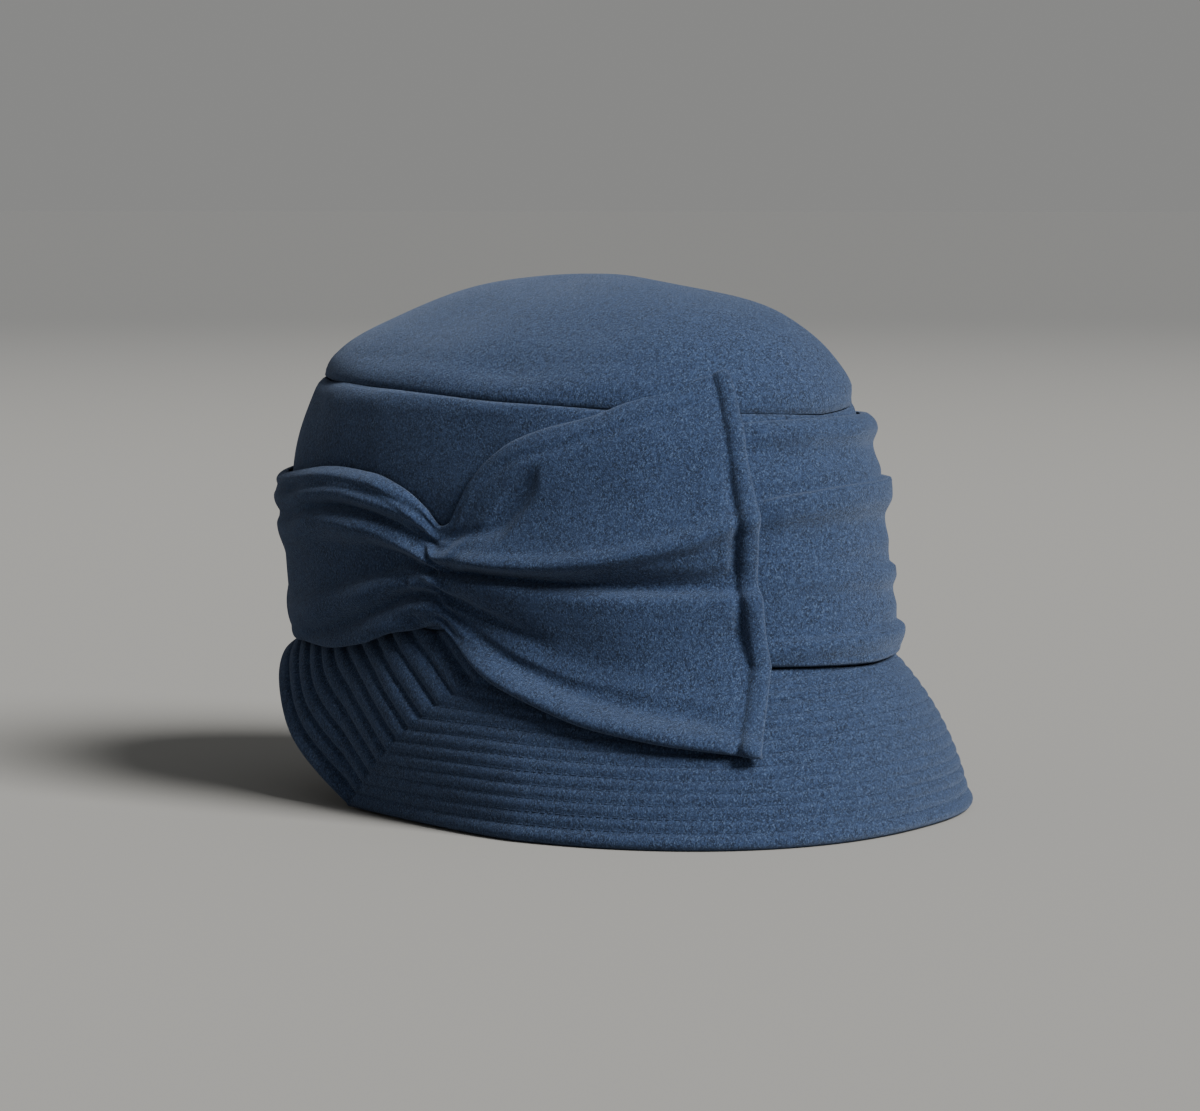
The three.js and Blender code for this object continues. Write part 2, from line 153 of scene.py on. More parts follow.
def rimPlan():
    steps = 240
    t = np.linspace(0, math.pi / 2, steps)
    x = rim["halfWidth"] * np.sin(t) ** (2 / rim["squareness"])
    reach = rim["front"] - rim["widestAhead"]
    ahead = rim["widestAhead"] + reach * np.cos(t) ** (2 / rim["squareness"])
    taper = np.linspace(0, 1, 40)[1:]
    narrowing = (rim["cornerHalfWidth"] - rim["halfWidth"]) * taper ** rim["taperBend"]
    x = np.append(x, rim["halfWidth"] + narrowing)
    ahead = np.append(ahead, rim["widestAhead"] - (rim["widestAhead"] + rim["cornerBack"]) * taper)
    corner = len(x) - 1
    t = t[1:]
    x = np.append(x, rim["cornerHalfWidth"] * np.cos(t) ** (2 / rim["napeSquareness"]))
    sweep = rim["napeBack"] - rim["cornerBack"]
    ahead = np.append(ahead, -rim["cornerBack"] - sweep * np.sin(t) ** (2 / rim["napeSquareness"]))
    angles = np.degrees(np.arctan2(x, ahead))
    return angles, np.hypot(x, ahead), angles[corner]


rimAngles, rimReaches, cornerAngle = rimPlan()


def fromFront(angle):
    whole = np.mod(angle, 360)
    return np.where(whole > 180, 360 - whole, whole)


def seamLevel(angle):
    return crown["drop"] * seamHeight(fromFront(angle))


def tipLevel(angle):
    return levelAt(tipHeight(fromFront(angle)))


def rimPoint(angle):
    turned = fromFront(angle)
    reach = np.interp(turned, rimAngles, rimReaches)
    behind = np.maximum(0, (turned - cornerAngle) / (180 - cornerAngle))
    level = rim["napeRise"] * napeHeight(behind)
    turned = np.radians(angle)
    return np.stack([-reach * np.sin(turned), -reach * np.cos(turned), level], -1)


def brimPoint(angle, drop):
    seam = crownPoint(angle, seamLevel(angle))
    run = rimPoint(angle) - seam
    length = np.linalg.norm(run, axis=-1, keepdims=True)
    down = run / length
    out = np.stack([-np.sin(np.radians(angle)), -np.cos(np.radians(angle)), 0 * angle], -1)
    out = out - (out * down).sum(-1, keepdims=True) * down
    out /= np.linalg.norm(out, axis=-1, keepdims=True)
    drop = np.asarray(drop)[..., None]
    return seam + run * drop + out * 4 * drop * (1 - drop) * rim["fullness"] * length


def brimOutward(angle, drop):
    return outwardAt(brimPoint, angle, np.clip(drop, 0.02, 0.98), 0.02)


def hatPoint(angle, level):
    seam = seamLevel(angle)
    under = brimPoint(angle, np.maximum(0, (seam - level) / (seam - rimPoint(angle)[..., 2])))
    return np.where((level >= seam)[..., None], crownPoint(angle, level), under)


# Slow waves of about that size in mm, the same each run
def softNoise(points, size, seed):
    random = np.random.default_rng(seed)
    total = np.zeros(points.shape[:-1])
    waves = 14
    for _ in range(waves):
        way = random.normal(size=3)
        way *= 2 * math.pi / (size * random.uniform(0.7, 1.6) * np.linalg.norm(way))
        total += np.sin(points @ way + random.uniform(0, 2 * math.pi))
    return total / math.sqrt(waves)


def meshFrom(name, points, faces, caps=()):
    mesh = bpy.data.meshes.new(name)
    placed = np.array(points, float).reshape(-1, 3)
    placed[:, 1] += hatShift
    mesh.from_pydata((placed * mm).tolist(), [], faces.tolist() + list(caps))
    work = bmesh.new()
    work.from_mesh(mesh)
    work.faces.ensure_lookup_table()
    for face in work.faces:
        face.smooth = face.index < len(faces)
        if not face.smooth:
            for edge in face.edges:
                edge.smooth = False              # cut ends stay crisp
    bmesh.ops.remove_doubles(work, verts=work.verts, dist=1e-6)
    bmesh.ops.recalc_face_normals(work, faces=work.faces)
    work.to_mesh(mesh)
    work.free()
    piece = bpy.data.objects.new(name, mesh)
    bpy.context.scene.collection.objects.link(piece)
    return piece


def gridQuads(rows, columns, closeRows, closeColumns):
    j = np.arange(rows if closeRows else rows - 1)
    i = np.arange(columns if closeColumns else columns - 1)
    j, i = (a.ravel() for a in np.meshgrid(j, i, indexing="ij"))
    down, along = (j + 1) % rows, (i + 1) % columns
    here, below = j * columns, down * columns
    return np.stack([here + i, here + along, below + along, below + i], -1)


# Closed cloth whose cross-sections are outer[section, row] and, seen only within, inner at the rows
# named in inside. closed joins the last section to the first; else both ends are capped.
def clothPiece(name, outer, inner, inside, closed):
    loops = np.concatenate([outer, inner[:, inside[::-1]]], axis=1)
    sections, places = loops.shape[:2]
    caps = []
    if not closed:
        back = [places - 1 - k for k in range(len(inside))]
        for first in (0, (sections - 1) * places):
            for k in range(len(inside) - 1):
                showing = list(range(inside[k], inside[k + 1] + 1))
                caps.append([first + place for place in showing + [back[k + 1], back[k]]])
    return meshFrom(name, loops, gridQuads(sections, places, closed, True), caps)


# Row numbers from the first to the last, about a step apart
def everyFew(count, step):
    return np.unique(np.linspace(0, count - 1, max(2, round(count / step))).round().astype(int))


# Cloth material
wool = dict(
    deep=(0.0075, 0.0125, 0.028), mid=(0.027, 0.047, 0.103), light=(0.088, 0.135, 0.235),
    sheen=0.2, sheenRoughness=0.5, sheenTint=(0.55, 0.68, 0.95), shine=0.12, relief=0.35,
    fibre=1.5, fleck=0.75, mottle=7.0,         # sizes of the three patterns, in mm
)


def newInput(tree, name, kind, value):
    socket = tree.interface.new_socket(name=name, in_out="INPUT", socket_type=kind)
    if value is not None:
        socket.default_value = value


def buildWoolGroup():
    tree = bpy.data.node_groups.new("heatheredWool", "ShaderNodeTree")
    newInput(tree, "Deep", "NodeSocketColor", (*wool["deep"], 1))
    newInput(tree, "Mid", "NodeSocketColor", (*wool["mid"], 1))
    newInput(tree, "Light", "NodeSocketColor", (*wool["light"], 1))
    newInput(tree, "Fibre size", "NodeSocketFloat", wool["fibre"])
    newInput(tree, "Fleck size", "NodeSocketFloat", wool["fleck"])
    newInput(tree, "Mottle size", "NodeSocketFloat", wool["mottle"])
    results = (("Color", "NodeSocketColor"), ("Roughness", "NodeSocketFloat"), ("Height", "NodeSocketFloat"))
    for name, kind in results:
        tree.interface.new_socket(name=name, in_out="OUTPUT", socket_type=kind)
    nodes, links = tree.nodes, tree.links
    inputs, outputs = nodes.new("NodeGroupInput"), nodes.new("NodeGroupOutput")
    place = nodes.new("ShaderNodeTexCoord")

    def noiseAt(sizeName, detail, stretch=(1, 1, 1), distortion=0.0, roughness=0.6):
        scale = nodes.new("ShaderNodeMath")
        scale.operation = "DIVIDE"
        scale.inputs[0].default_value = 1 / mm
        links.new(inputs.outputs[sizeName], scale.inputs[1])
        mapping = nodes.new("ShaderNodeMapping")
        mapping.inputs["Scale"].default_value = stretch
        mapping.inputs["Rotation"].default_value = (0.6, 0.35, 0.9)
        links.new(place.outputs["Object"], mapping.inputs["Vector"])
        noise = nodes.new("ShaderNodeTexNoise")
        noise.inputs["Detail"].default_value = detail
        noise.inputs["Roughness"].default_value = roughness
        noise.inputs["Distortion"].default_value = distortion
        links.new(mapping.outputs["Vector"], noise.inputs["Vector"])
        links.new(scale.outputs[0], noise.inputs["Scale"])
        return noise.outputs["Fac"]

    def ranged(value, low, high, toLow=0.0, toHigh=1.0):
        spread = nodes.new("ShaderNodeMapRange")
        spread.interpolation_type = "SMOOTHSTEP"
        limits = (("From Min", low), ("From Max", high), ("To Min", toLow), ("To Max", toHigh))
        for name, number in limits:
            spread.inputs[name].default_value = number
        links.new(value, spread.inputs["Value"])
        return spread.outputs["Result"]

    def mixed(factor, a, b):
        mix = nodes.new("ShaderNodeMix")
        mix.data_type = "RGBA"
        links.new(factor, mix.inputs["Factor"])
        links.new(a, mix.inputs["A"])
        links.new(b, mix.inputs["B"])
        return mix.outputs["Result"]

    def added(a, b, weight):
        total = nodes.new("ShaderNodeMath")
        total.operation = "MULTIPLY_ADD"
        links.new(b, total.inputs[0])
        total.inputs[1].default_value = weight
        links.new(a, total.inputs[2])
        return total.outputs[0]

    fibres = noiseAt("Fibre size", 4.0, (1.0, 2.0, 1.5), 1.0, 0.72)
    crossFibres = noiseAt("Fibre size", 4.0, (2.6, 1.0, 1.2), 0.8, 0.7)
    flecks = noiseAt("Fleck size", 2.0, (1.0, 1.6, 1.0), 0.4)
    mottle = noiseAt("Mottle size", 3.0)
    body = mixed(ranged(fibres, 0.4, 0.6), inputs.outputs["Deep"], inputs.outputs["Mid"])
    body = mixed(ranged(flecks, 0.5, 0.72, 0.0, 0.65), body, inputs.outputs["Light"])
    body = mixed(ranged(crossFibres, 0.34, 0.48, 0.7, 0.0), body, inputs.outputs["Deep"])
    body = mixed(ranged(mottle, 0.35, 0.7, 0.0, 0.28), body, inputs.outputs["Mid"])
    links.new(body, outputs.inputs["Color"])
    links.new(ranged(fibres, 0.3, 0.7, 0.84, 1.0), outputs.inputs["Roughness"])
    relief = added(added(fibres, crossFibres, 0.8), flecks, 0.7)
    links.new(added(relief, mottle, 0.8), outputs.inputs["Height"])
    return tree


woolGroup = buildWoolGroup()


def woolMaterial(name, shade=1.0, depth=wool["relief"], fibre=wool["fibre"]):
    material = bpy.data.materials.new(name)
    material.use_nodes = True
    nodes, links = material.node_tree.nodes, material.node_tree.links
    shader = nodes["Principled BSDF"]
    shader.inputs["Sheen Weight"].default_value = wool["sheen"]
    shader.inputs["Sheen Roughness"].default_value = wool["sheenRoughness"]
    shader.inputs["Sheen Tint"].default_value = (*wool["sheenTint"], 1)
    shader.inputs["Specular IOR Level"].default_value = wool["shine"]
    group = nodes.new("ShaderNodeGroup")
    group.node_tree = woolGroup
    for tone in ("deep", "mid", "light"):
        group.inputs[tone.capitalize()].default_value = (*(shade * c for c in wool[tone]), 1)
    group.inputs["Fibre size"].default_value = fibre
    links.new(group.outputs["Color"], shader.inputs["Base Color"])
    links.new(group.outputs["Roughness"], shader.inputs["Roughness"])
    bump = nodes.new("ShaderNodeBump")
    bump.inputs["Distance"].default_value = depth * mm
    bump.inputs["Strength"].default_value = 1.0
    links.new(group.outputs["Height"], bump.inputs["Height"])
    links.new(bump.outputs["Normal"], shader.inputs["Normal"])
    return material


# Loose fibres, each with its own tone
def napMaterial():
    material = bpy.data.materials.new("napWool")
    material.use_nodes = True
    nodes, links = material.node_tree.nodes, material.node_tree.links
    shader, own = nodes["Principled BSDF"], nodes.new("ShaderNodeNewGeometry")
    ramp = nodes.new("ShaderNodeValToRGB")
    ramp.color_ramp.elements.new(0.5)
    for stop, tone in zip(ramp.color_ramp.elements, ("deep", "mid", "light")):
        stop.color = (*wool[tone], 1)
    links.new(own.outputs["Random Per Island"], ramp.inputs["Fac"])
    links.new(ramp.outputs["Color"], shader.inputs["Base Color"])
    shader.inputs["Roughness"].default_value = 0.8
    shader.inputs["Specular IOR Level"].default_value = 0.2
    return material


crownWool = woolMaterial("crownWool")
wrapWool = woolMaterial("wrapWool")
brimWool = woolMaterial("brimWool", 0.98)
# The brim's under layer gets the brim wool at 0.9 of its tone: painted shade on the underside that faces
# down.
shadedUnderWool = woolMaterial("shadedUnderBrimWool", 0.9)
threadCloth = woolMaterial("blueThread", 0.8, 0.12, 0.3)


def finishPiece(piece, material, slotName, *nodeNames):
    piece.data.materials.clear()
    piece.data.materials.append(material)
    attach(piece, "root")
    if nodeNames:
        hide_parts(*nodeNames)
    return piece


# Brim
brim = dict(
    cloth=2.4, gap=0.3, columns=600, rows=80,
    edgeRadius=2.6, edgeSwell=0.9, edgeSwellAt=3.0, edgeSwellWidth=2.4,
    frontRows=dict(first=6.6, spacing=4.7, groove=0.55, width=0.75, puff=0.15),
    backRows=dict(first=8.2, spacing=7.5, groove=1.3, width=1.1, puff=0.75),
)


# Distance in mm from each point to a line of points, run on straight past both its ends
def distanceToLine(points, line):
    before, after = 2 * line[0] - line[1], 2 * line[-1] - line[-2]
    before, after = line[0] + 30 * (before - line[0]), line[-1] + 30 * (after - line[-1])
    line = np.concatenate([before[None], line, after[None]])
    start, run = line[:-1], np.diff(line, axis=0)
    lengths = (run * run).sum(-1)
    flat = points.reshape(-1, 3)
    nearest = np.empty(len(flat))
    for first in range(0, len(flat), 4000):
        some = flat[first:first + 4000, None, :] - start[None]
        t = np.clip((some * run).sum(-1) / lengths, 0, 1)
        nearest[first:first + 4000] = np.linalg.norm(some - t[..., None] * run, axis=-1).min(1)
    return nearest.reshape(points.shape[:-1])


# Row number at each point, counted up from the rim with a row of stitching at each whole one. The
# front's rows lie closer than those behind, and both meet on a mitre above each corner.
def sewnRows(points):
    places, behind = [], []
    for rows, angles in (
        ("frontRows", np.linspace(-cornerAngle, cornerAngle, 260)),
        ("backRows", np.linspace(cornerAngle, 360 - cornerAngle, 120)),
    ):
        distance = distanceToLine(points, rimPoint(angles))
        places.append((distance - brim[rows]["first"]) / brim[rows]["spacing"])
        behind.append(distance)
    isBack = places[1] < places[0]
    return np.where(isBack, places[1], places[0]), np.where(isBack, behind[1], behind[0]), isBack


# Rows of stitching pull the cloth in, and it puffs up between them
def quiltHeight(place, distance, isBack):
    front, back = brim["frontRows"], brim["backRows"]
    spacing, depth, width, puff = (
        np.where(isBack, back[name], front[name]) for name in ("spacing", "groove", "width", "puff")
    )
    off = (place - np.maximum(np.round(place), 0)) * spacing
    groove = np.exp(-(off / width) ** 2)
    between = np.sin(math.pi * np.clip(np.abs(off) / spacing, 0, 0.5)) ** 0.7
    roll = np.exp(-((distance - brim["edgeSwellAt"]) / brim["edgeSwellWidth"]) ** 2)
    return puff * between - depth * groove + brim["edgeSwell"] * roll


def brimAngles():
    even = np.linspace(-180, 180, brim["columns"], endpoint=False)
    keep = np.abs(np.abs(even) - cornerAngle) > 0.25
    return np.sort(np.append(even[keep], [-cornerAngle, cornerAngle]))


# The quilted face of one layer and the plain one within, side 1 for the upper, -1 below
def brimFace(angles, drops, side):
    angleGrid, dropGrid = np.meshgrid(angles, drops, indexing="ij")
    face, outward = brimPoint(angleGrid, dropGrid), brimOutward(angleGrid, dropGrid)
    place, distance, isBack = sewnRows(face)
    edge = np.clip(1 - distance / brim["edgeRadius"], 0, 1)
    rounding = brim["edgeRadius"] * (1 - np.sqrt(np.clip(1 - edge ** 2, 0, 1)))
    middle = -(brim["cloth"] + brim["gap"] / 2)
    half = brim["gap"] / 2
    height = brim["cloth"] + half + quiltHeight(place, distance, isBack) - rounding
    height = np.maximum(height, half + 0.05)
    outer = face + outward * (middle + side * height)[..., None]
    inner = face + outward * (middle + side * half)
    for layer in (outer, inner):
        layer[..., 2] = np.maximum(layer[..., 2], rimPoint(angles)[:, 2][:, None])
    return outer, inner, place


stitchRows = []


# Where each row of stitching runs over a brim face, as one or more lines of points
def keepStitchRows(angles, face, place):
    for row in range(int(place.max()) + 1):
        line = []
        for column in range(len(angles) + 1):
            away, points = place[column % len(angles)], face[column % len(angles)]
            crossing = np.nonzero((away[:-1] >= row) & (away[1:] < row))[0]
            if len(crossing):
                k = crossing[-1]
                t = (away[k] - row) / (away[k] - away[k + 1])
                line.append(points[k] * (1 - t) + points[k + 1] * t)
            if line and (not len(crossing) or column == len(angles)):
                if len(line) > 2:
                    stitchRows.append(np.array(line))
                line = []


# One closed layer: its showing face is quilted, and its edge is rolled over at the rim
def brimLayer(name, side):
    angles = brimAngles()
    drops = np.linspace(0, 1, brim["rows"]) ** 0.97
    outer, inner, place = brimFace(angles, drops, side)
    keepStitchRows(angles, outer, place)
    return clothPiece(name, outer, inner, everyFew(brim["rows"], 12), True), outer


brimTop, brimTopFace = brimLayer("brimUpperCloth", 1)
brimBelow, _ = brimLayer("brimUnderCloth", -1)
finishPiece(brimTop, brimWool, "brim_cloth", "brim_upper")
finishPiece(brimBelow, shadedUnderWool, "brim_lining_cloth", "brim_under")
print("brim layers made", len(brimTop.data.polygons), len(brimBelow.data.polygons), len(stitchRows))

# Crown
crownPanels = dict(
    columns=340, bandRows=44, tipRows=52, gap=0.3, seamRoll=0.9, seamWidth=3.4,
    tipPuff=1.4, frontPuff=2.4, frontFrom=80.0, frontFull=30.0,
    wave=0.6, sideWaveSize=45.0, tipWaveSize=55.0,
)


# A pressed seam dips at its line and swells a little beside it
def seamRoll(distance):
    width = crownPanels["seamWidth"]
    swell = np.exp(-((distance - width) / width) ** 2)
    dip = np.exp(-(distance / (0.4 * width)) ** 2)
    return crownPanels["seamRoll"] * (0.6 * swell - 0.8 * dip)


def crownBandPiece():
    angles = np.linspace(-180, 180, crownPanels["columns"], endpoint=False)
    shares = np.linspace(0, 1, crownPanels["bandRows"]) ** 0.7
    angleGrid, shareGrid = np.meshgrid(angles, shares, indexing="ij")
    low, high = seamLevel(angleGrid) + crownPanels["gap"], tipLevel(angleGrid)
    levels = low + (high - low) * shareGrid
    base, outward = crownPoint(angleGrid, levels), crownOutward(angleGrid, levels)
    height = seamRoll(high - levels) + crownPanels["wave"] * softNoise(base, crownPanels["sideWaveSize"], 3)
    height = np.minimum(height, 0.4)
    outer, inner = base + outward * height[..., None], base - outward * crown["cloth"]
    return clothPiece("crownSideCloth", outer, inner, everyFew(crownPanels["bandRows"], 6), True)


def crownTipPiece():
    angles = np.linspace(-180, 180, crownPanels["columns"], endpoint=False)
    shares = 1 - (1 - np.linspace(0, 1, crownPanels["tipRows"])) ** 1.15
    angleGrid, shareGrid = np.meshgrid(angles, shares, indexing="ij")
    start = np.arcsin((tipLevel(angleGrid) + crownPanels["gap"] - crown["drop"]) / crown["height"])
    levels = levelAt(np.sin(start + (math.pi / 2 - start) * shareGrid))
    base, outward = crownPoint(angleGrid, levels), crownOutward(angleGrid, levels)
    outward[:, -1] = (0, 0, 1)
    above = levels - tipLevel(angleGrid)
    ahead = smoothStep(crownPanels["frontFrom"], crownPanels["frontFull"], fromFront(angleGrid))
    puff = crownPanels["tipPuff"] + (crownPanels["frontPuff"] - crownPanels["tipPuff"]) * ahead
    height = seamRoll(above) * (1 - ahead) + puff * smoothStep(0, 7, above)
    wave = crownPanels["wave"] * softNoise(base, crownPanels["tipWaveSize"], 5)
    height = height + wave * smoothStep(1, 10, above)
    middle = height[:, -1].mean()
    height = middle + (height - middle) * smoothStep(1.0, 0.8, shareGrid)
    outer, inner = base + outward * height[..., None], base - outward * crown["cloth"]
    inside = everyFew(crownPanels["tipRows"] - 1, 7)
    return clothPiece("crownTopCloth", outer, inner[:, :-1], inside, True), outer


crownSide = crownBandPiece()
crownTop, crownTopFace = crownTipPiece()
finishPiece(crownSide, crownWool, "crown_cloth", "crown_band")
finishPiece(crownTop, crownWool, "crown_cloth", "crown_tip")
print("crown panels made", len(crownSide.data.polygons), len(crownTop.data.polygons))

# The long strip: tucked across the front, gathered behind the right ear and opened in the fan.
# turn is the way gone round the hat from the front by the wearer's left, in degrees, so that the
# strip begins at -28 under the fan's hem, is gathered at 267 and ends with the hem at 336.
strip = dict(
    start=-28.0, waist=267.0, hem=336.0, cloth=2.1, clear=0.6, edgeRadius=1.4,
    columnStep=0.55, rows=112,
    degree=1.85, crownDegree=1.62,             # mm for each degree along the hem's end and round the crown
    hemWidth=6.6, hemRise=2.6, hemGroove=1.6, hemSlant=5.5,
    wave=0.45, waveSize=34.0, bridge=17.0, topTurn=0.8, topTurnWidth=6.0, endEdge=0.15,
    top=[
        (-28, 0.63), (0, 0.63), (40, 0.62), (90, 0.58), (150, 0.5), (210, 0.46), (221, 0.475),
        (240, 0.5), (252, 0.49), (261, 0.455), (267, 0.405), (270.5, 0.36), (273, 0.37),
        (276, 0.42), (279, 0.475), (284, 0.54), (290, 0.59), (297, 0.622), (306, 0.65),
        (313, 0.68), (320, 0.705), (327, 0.728), (336, 0.748),
    ],
    fanBottom=[
        (258, 0.11), (267, 0.1), (273, 0.05), (278, 0.005), (284, -0.045), (294, -0.1),
        (306, -0.155), (318, -0.19), (327, -0.21), (336, -0.23),
    ],
    base=[
        (-28, 2.9), (180, 3.2), (225, 3.4), (262, 3.2), (270, 3.0), (280, 4.0), (300, 4.8),
        (322, 4.8), (331, 4.9), (336, 5.2),
    ],
)

